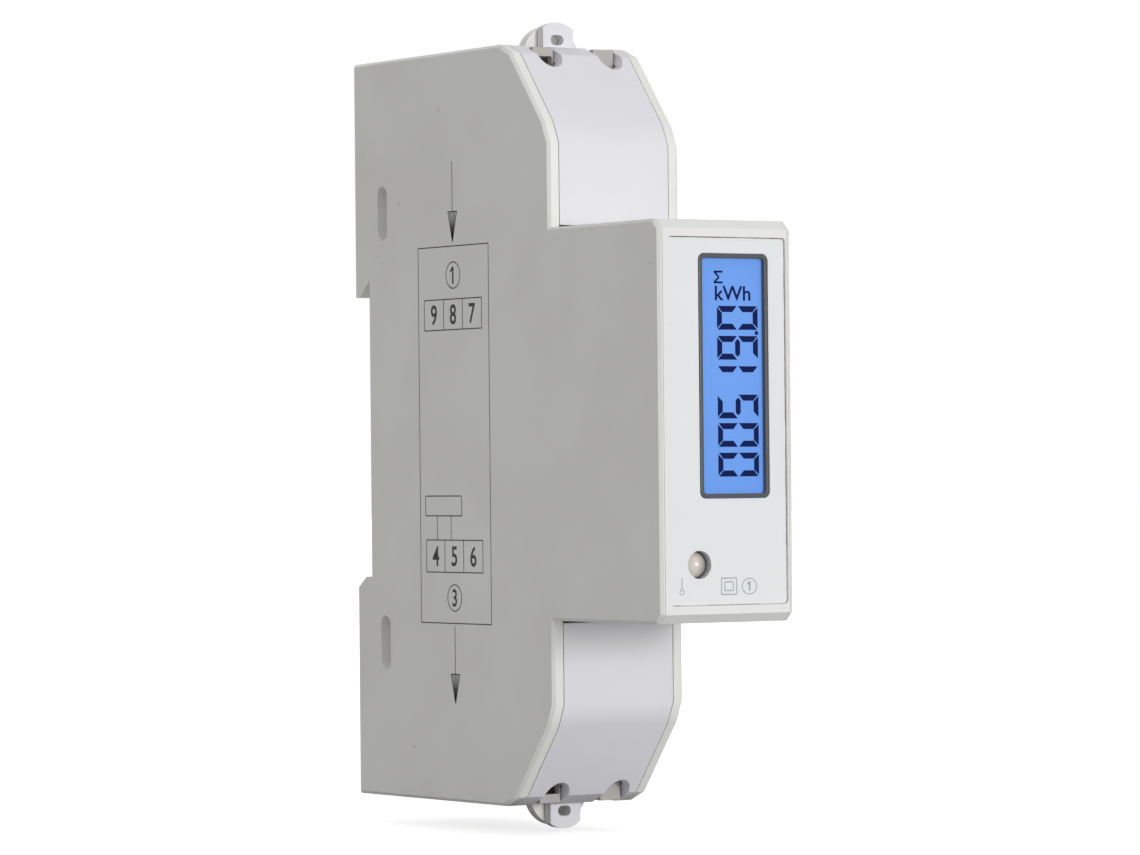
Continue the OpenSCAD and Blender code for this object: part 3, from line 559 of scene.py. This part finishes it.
lit = []
for sign, z_low in zip("005190", (-6.2, -2.88, 0.3, 3.48, 6.87, 10.22)):
    lit += digit(sign, z_low)
lit.append(numeral(".", 2.2, (4.75, glass_y, 9.87), (0, 0, 1), (-1, 0, 0), INK_LIFT))
lit.append(numeral("kWh", 1.6, (1.55, glass_y, 14.3), (1, 0, 0), (0, 0, 1), INK_LIFT, 1.1))
for x0, z0, x1, z1 in ((-1.0, 16.7, 0.2, 16.7), (-1.0, 15.5, 0.2, 15.5),
                       (-0.92, 16.68, -0.3, 16.1), (-0.92, 15.52, -0.3, 16.1)):
    lit.append(stroke((x0, glass_y, z0), (x1, glass_y, z1), 0.22, (0, -1, 0), INK_LIFT))
joined_print(lit, "lcd_segments", segment_ink)
guide = moulded("light_guide", tone(206, 220, 250), 0.3, 0.002, clouding=0.2)
dress("lcd_backlight", guide)


# The pulse lamp is a clear 3 mm epoxy lamp with a domed nose. It stands in a
# plain hole of the panel and blinks with the energy that is counted. Its left
# half is a pale, warm painted reflection, its right half painted shade of the hole.
epoxy = bpy.data.materials.new("lamp_epoxy")
epoxy.use_nodes = True
tree = epoxy.node_tree
shader = tree.nodes["Principled BSDF"]
place = add_node(tree, "TexCoord").outputs["Object"]
lamp_low, lamp_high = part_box("pulse_lamp")
inner = add_node(tree, "TexNoise", Vector=place, Scale=600, Detail=1)
# painted reflection: the pale, warm tones of the lens's left half, varied at random
lens = blend_colors(tree, inner.outputs[0], tone(226, 214, 202), tone(240, 234, 226))
across = add_node(tree, "SeparateXYZ", Vector=place).outputs["X"]
# painted light and shade: the lens darkens from the pale painted reflection on the left to the painted shade
# of the hole on the right
painted_light_to, painted_shade_from = lamp_low.x + 1.4 * mm, lamp_high.x - 0.7 * mm
painted_shade_ramp = add_node(tree, "MapRange", Value=across, i1=painted_light_to, i2=painted_shade_from, i3=0, i4=1)
hue = blend_colors(tree, painted_shade_ramp.outputs[0], lens, tone(112, 112, 116))
tree.links.new(hue, shader.inputs["Base Color"])
shader.inputs["Roughness"].default_value = 0.25
shader.inputs["Coat Weight"].default_value = 0.3
dress("pulse_lamp", epoxy)


# Each terminal cover is a bent shell of whiter, smoother plastic. It slides off
# forwards, its two legs showing through the slots of the side walls, and a seal
# wire through its tab and the lug of the case keeps it on.
cover_white = moulded("cover_white", tone(235, 235, 240), 0.55, 0.005, specks=0.15, clouding=0.3)
for end in ("upper", "lower"):
    moulding(end + "_cover", end + "_cover", cover_white, 0.12)


# The main terminals: a zinc-plated steel screw pulls a folded cage forwards,
# which clamps the cable against the rear of the current bar. The metal is
# stamped, so it is brushed along its length and a little stained.
worked = bpy.data.node_groups.new("worked_metal", "ShaderNodeTree")
for name, kind in (("Tone", "Color"), ("Stain", "Color"), ("Roughness", "Float"), ("Staining", "Float")):
    worked.interface.new_socket(name=name, in_out="INPUT", socket_type="NodeSocket" + kind)
for name, kind in (("Color", "Color"), ("Roughness", "Float"), ("Height", "Float")):
    worked.interface.new_socket(name=name, in_out="OUTPUT", socket_type="NodeSocket" + kind)
given = worked.nodes.new("NodeGroupInput")
place = add_node(worked, "TexCoord").outputs["Object"]
drawn = add_node(worked, "Mapping", Vector=place)
drawn.inputs["Scale"].default_value = (5200, 700, 5200)
brushing = add_node(worked, "TexNoise", Vector=drawn.outputs[0], Scale=1, Detail=3)
blot = add_node(worked, "TexNoise", Vector=place, Scale=420, Detail=4, Roughness=0.6)
stain = add_node(worked, "MapRange", Value=blot.outputs[0], i1=0.5, i2=0.75, i3=0, i4=1)
stain = arithmetic(worked, "MULTIPLY", stain.outputs[0], given.outputs["Staining"])
colour = blend_colors(worked, stain, given.outputs["Tone"], given.outputs["Stain"])
uneven = arithmetic(worked, "MULTIPLY", arithmetic(worked, "SUBTRACT", brushing.outputs[0], 0.5), 0.3)
uneven = arithmetic(worked, "ADD", uneven, arithmetic(worked, "MULTIPLY", stain, 0.2))
outcome = worked.nodes.new("NodeGroupOutput")
worked.links.new(colour, outcome.inputs["Color"])
roughened = arithmetic(worked, "ADD", given.outputs["Roughness"], uneven, clamp=True)
worked.links.new(roughened, outcome.inputs["Roughness"])
worked.links.new(brushing.outputs[0], outcome.inputs["Height"])


def metal(name, colour, stained, roughness, staining=0.4):
    """Bare or plated metal with brushing and stains."""
    material = bpy.data.materials.new(name)
    material.use_nodes = True
    tree = material.node_tree
    body = tree.nodes["Principled BSDF"]
    surface = tree.nodes.new("ShaderNodeGroup")
    surface.node_tree = worked
    surface.inputs["Tone"].default_value = colour
    surface.inputs["Stain"].default_value = stained
    surface.inputs["Roughness"].default_value = roughness
    surface.inputs["Staining"].default_value = staining
    relief = add_node(tree, "Bump", Strength=0.35, Distance=0.004 * mm, Height=surface.outputs["Height"])
    tree.links.new(surface.outputs["Color"], body.inputs["Base Color"])
    tree.links.new(surface.outputs["Roughness"], body.inputs["Roughness"])
    tree.links.new(relief.outputs[0], body.inputs["Normal"])
    body.inputs["Metallic"].default_value = 1
    return material


screw_zinc = metal("screw_zinc", tone(196, 198, 202), tone(140, 136, 126), 0.3)
cage_zinc = metal("cage_zinc", tone(188, 184, 166), tone(146, 128, 88), 0.36, 0.6)
bar_copper = metal("bar_copper", tone(206, 140, 96), tone(128, 78, 52), 0.32, 0.5)
for end in ("upper", "lower"):
    dress(end + "_main_screw", screw_zinc)
    dress(end + "_main_cage", cage_zinc)
    dress(end + "_current_bar", bar_copper)


# The small terminals: a grey moulded strip holds three little cages with their
# screws, and brass strips lead from them down to a small link board. The wires
# come in through the two notches of the cover.
block_grey = moulded("block_grey", tone(188, 186, 182), 0.5, 0.006, specks=0.2, clouding=0.5)
strip_brass = metal("strip_brass", tone(214, 190, 120), tone(150, 118, 60), 0.3, 0.5)
board_green = moulded("board_green", tone(38, 96, 62), 0.3, 0.004, clouding=1.0, coat=0.4)
for end in ("upper", "lower"):
    moulding(end + "_terminal_block", "case", block_grey, 0.08)
    dress(end + "_contact_strips", strip_brass)
    dress(end + "_link_board", board_green)
    for place_name in ("left", "middle", "right"):
        dress(f"{end}_small_cage_{place_name}", cage_zinc)
        dress(f"{end}_small_screw_{place_name}", screw_zinc)


# The rail clip is a sliding foot of the same grey plastic. A coil of steel wire
# between a stop of the case and the foot's window pushes it up under the rail.
# In the meter it shortens onto that stop as the foot is pulled down; here the coil is a fixed copy on the
# case.
clip_grey = moulded("clip_grey", tone(196, 196, 192), 0.45, 0.008, specks=0.4, clouding=0.5)
moulding("rail_clip", "rail_clip", clip_grey, 0.12)
dress("clip_spring", metal("spring_wire", tone(180, 182, 186), tone(120, 116, 110), 0.28))
coil = twin("clip_spring", "clip_spring_coil")
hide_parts("clip_spring")
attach(coil, "case")
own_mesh(coil)


# The electronics stand on two boards of green solder mask: the display board
# behind the glass and the main board along the lid, with the parts that feed
# the meter, measure the shunt and drive the pulse outputs.
dress("display_board", board_green)
dress("main_board", board_green)
chip_black = moulded("chip_black", tone(40, 40, 43), 0.55, 0.006, clouding=0.7)
for node in ("board_header", "metering_chip", "controller_chip"):
    dress(node, chip_black)
dress("lcd_pins", metal("tinned_pins", tone(200, 200, 204), tone(150, 148, 140), 0.3))
dress("quartz_crystal", metal("crystal_can", tone(206, 207, 208), tone(160, 158, 150), 0.22, 0.2))
dress("optocouplers", moulded("coupler_cream", tone(224, 220, 206), 0.5, 0.005))
dress("dropper_capacitor", moulded("capacitor_ochre", tone(205, 160, 44), 0.28, 0.003, coat=0.3))
dress("filter_capacitor", moulded("sleeve_navy", tone(40, 54, 96), 0.3, 0.003, coat=0.3))
dress("surge_varistor", moulded("dipped_blue", tone(38, 84, 168), 0.3, 0.02, coat=0.5))
dress("current_shunt", metal("shunt_alloy", tone(176, 146, 112), tone(120, 92, 62), 0.38, 0.7))
dress("sense_leads", moulded("lead_red", tone(176, 48, 42), 0.45, 0.004))

bpy.context.view_layer.update()
